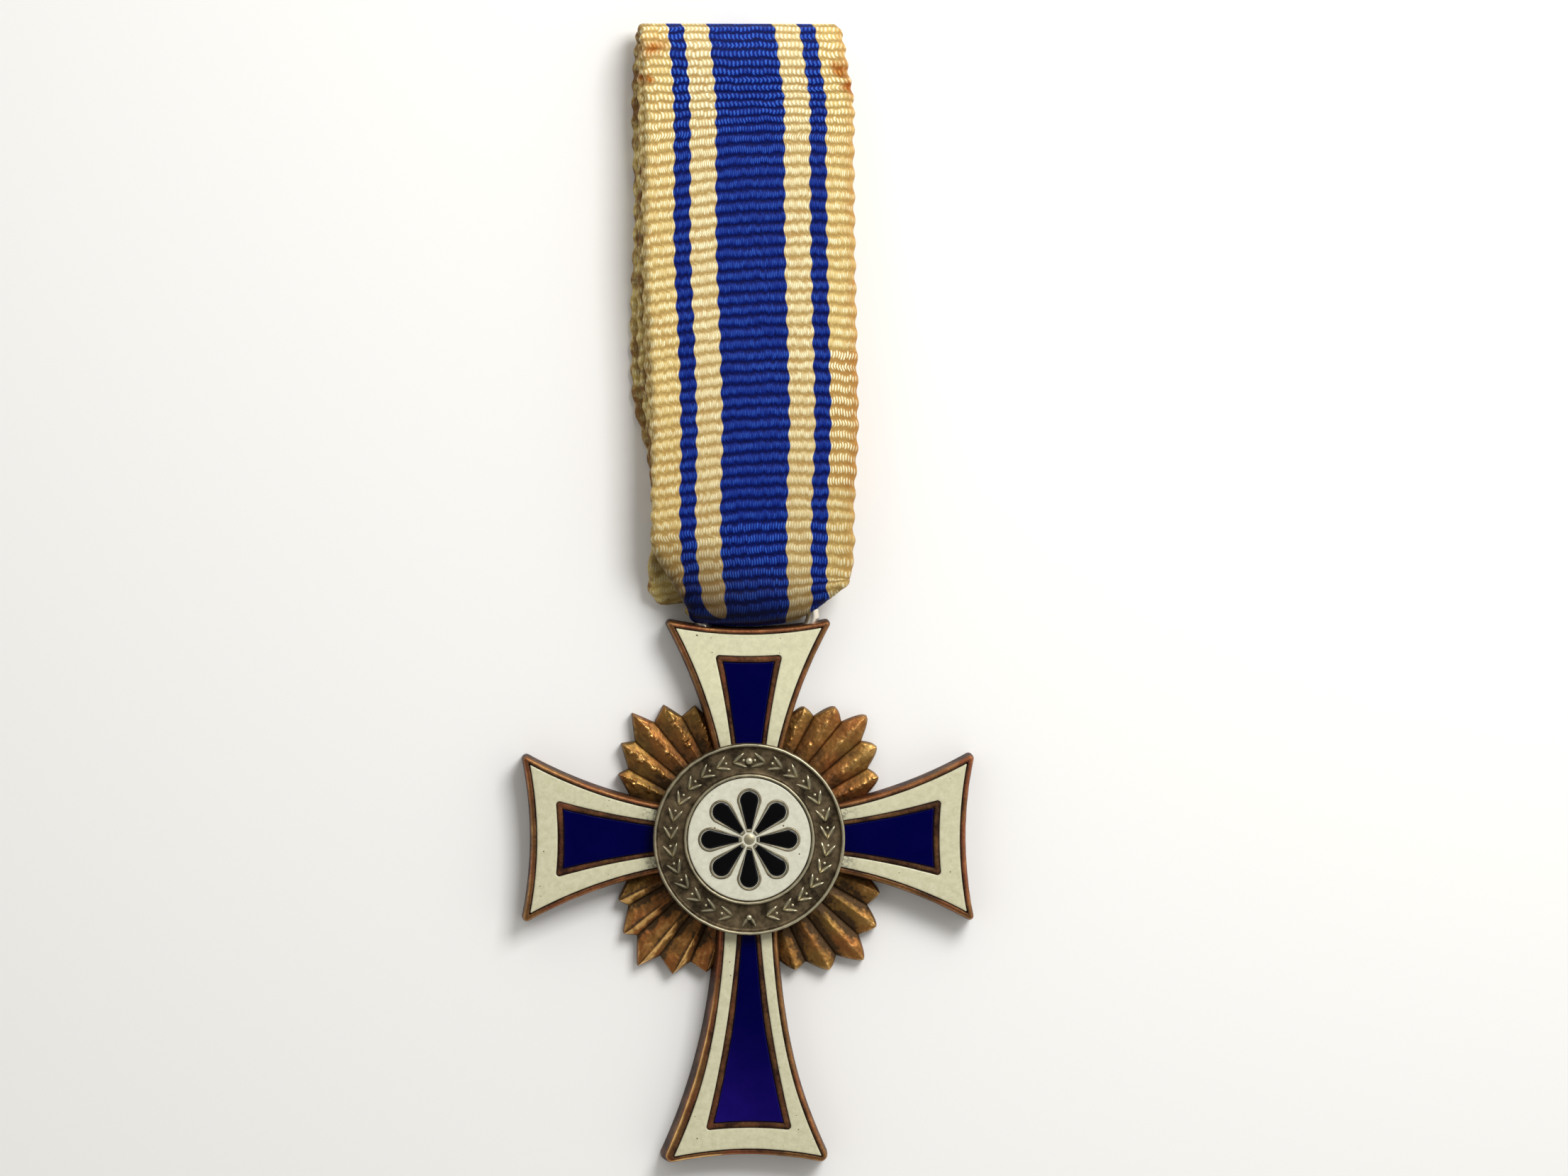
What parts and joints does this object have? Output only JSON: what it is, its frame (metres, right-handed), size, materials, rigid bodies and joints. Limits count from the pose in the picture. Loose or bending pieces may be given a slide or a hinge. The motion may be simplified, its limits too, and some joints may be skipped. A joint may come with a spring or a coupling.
{
  "type": "commemorative medal",
  "caption": "Flared enamelled cross with short rays and a silver medallion, on a folded striped grosgrain ribbon, lying face up.",
  "frame": {"origin": "middle of the cross's flat back, under the medallion, on the surface that the medal lies on", "axes": "+Z out of the medal's face, up from the surface; +Y up the medal, towards the ribbon's top fold; +X to the right as seen from the front"},
  "size_m": [0.0352, 0.0883, 0.0043],
  "materials": {
    "bronze": "struck bronze, patinated",
    "silver": "oxidised silver",
    "white_enamel": "glossy vitreous enamel",
    "blue_enamel": "glossy translucent enamel",
    "black_enamel": "glossy vitreous enamel",
    "ribbon": "ribbed silk grosgrain, striped"
  },
  "bodies": {
    "root": {"cross_body": "bronze", "white_enamel_right": "white_enamel", "white_enamel_up": "white_enamel", "white_enamel_left": "white_enamel", "white_enamel_down": "white_enamel", "blue_enamel_right": "blue_enamel", "blue_enamel_up": "blue_enamel", "blue_enamel_left": "blue_enamel", "blue_enamel_down": "blue_enamel", "medallion": "silver", "field_enamel": "white_enamel", "petal_enamel_1": "black_enamel", "petal_enamel_2": "black_enamel", "petal_enamel_3": "black_enamel", "petal_enamel_4": "black_enamel", "petal_enamel_5": "black_enamel", "petal_enamel_6": "black_enamel", "petal_enamel_7": "black_enamel", "petal_enamel_8": "black_enamel", "ribbon": "ribbon"}
  },
  "joints": []
}
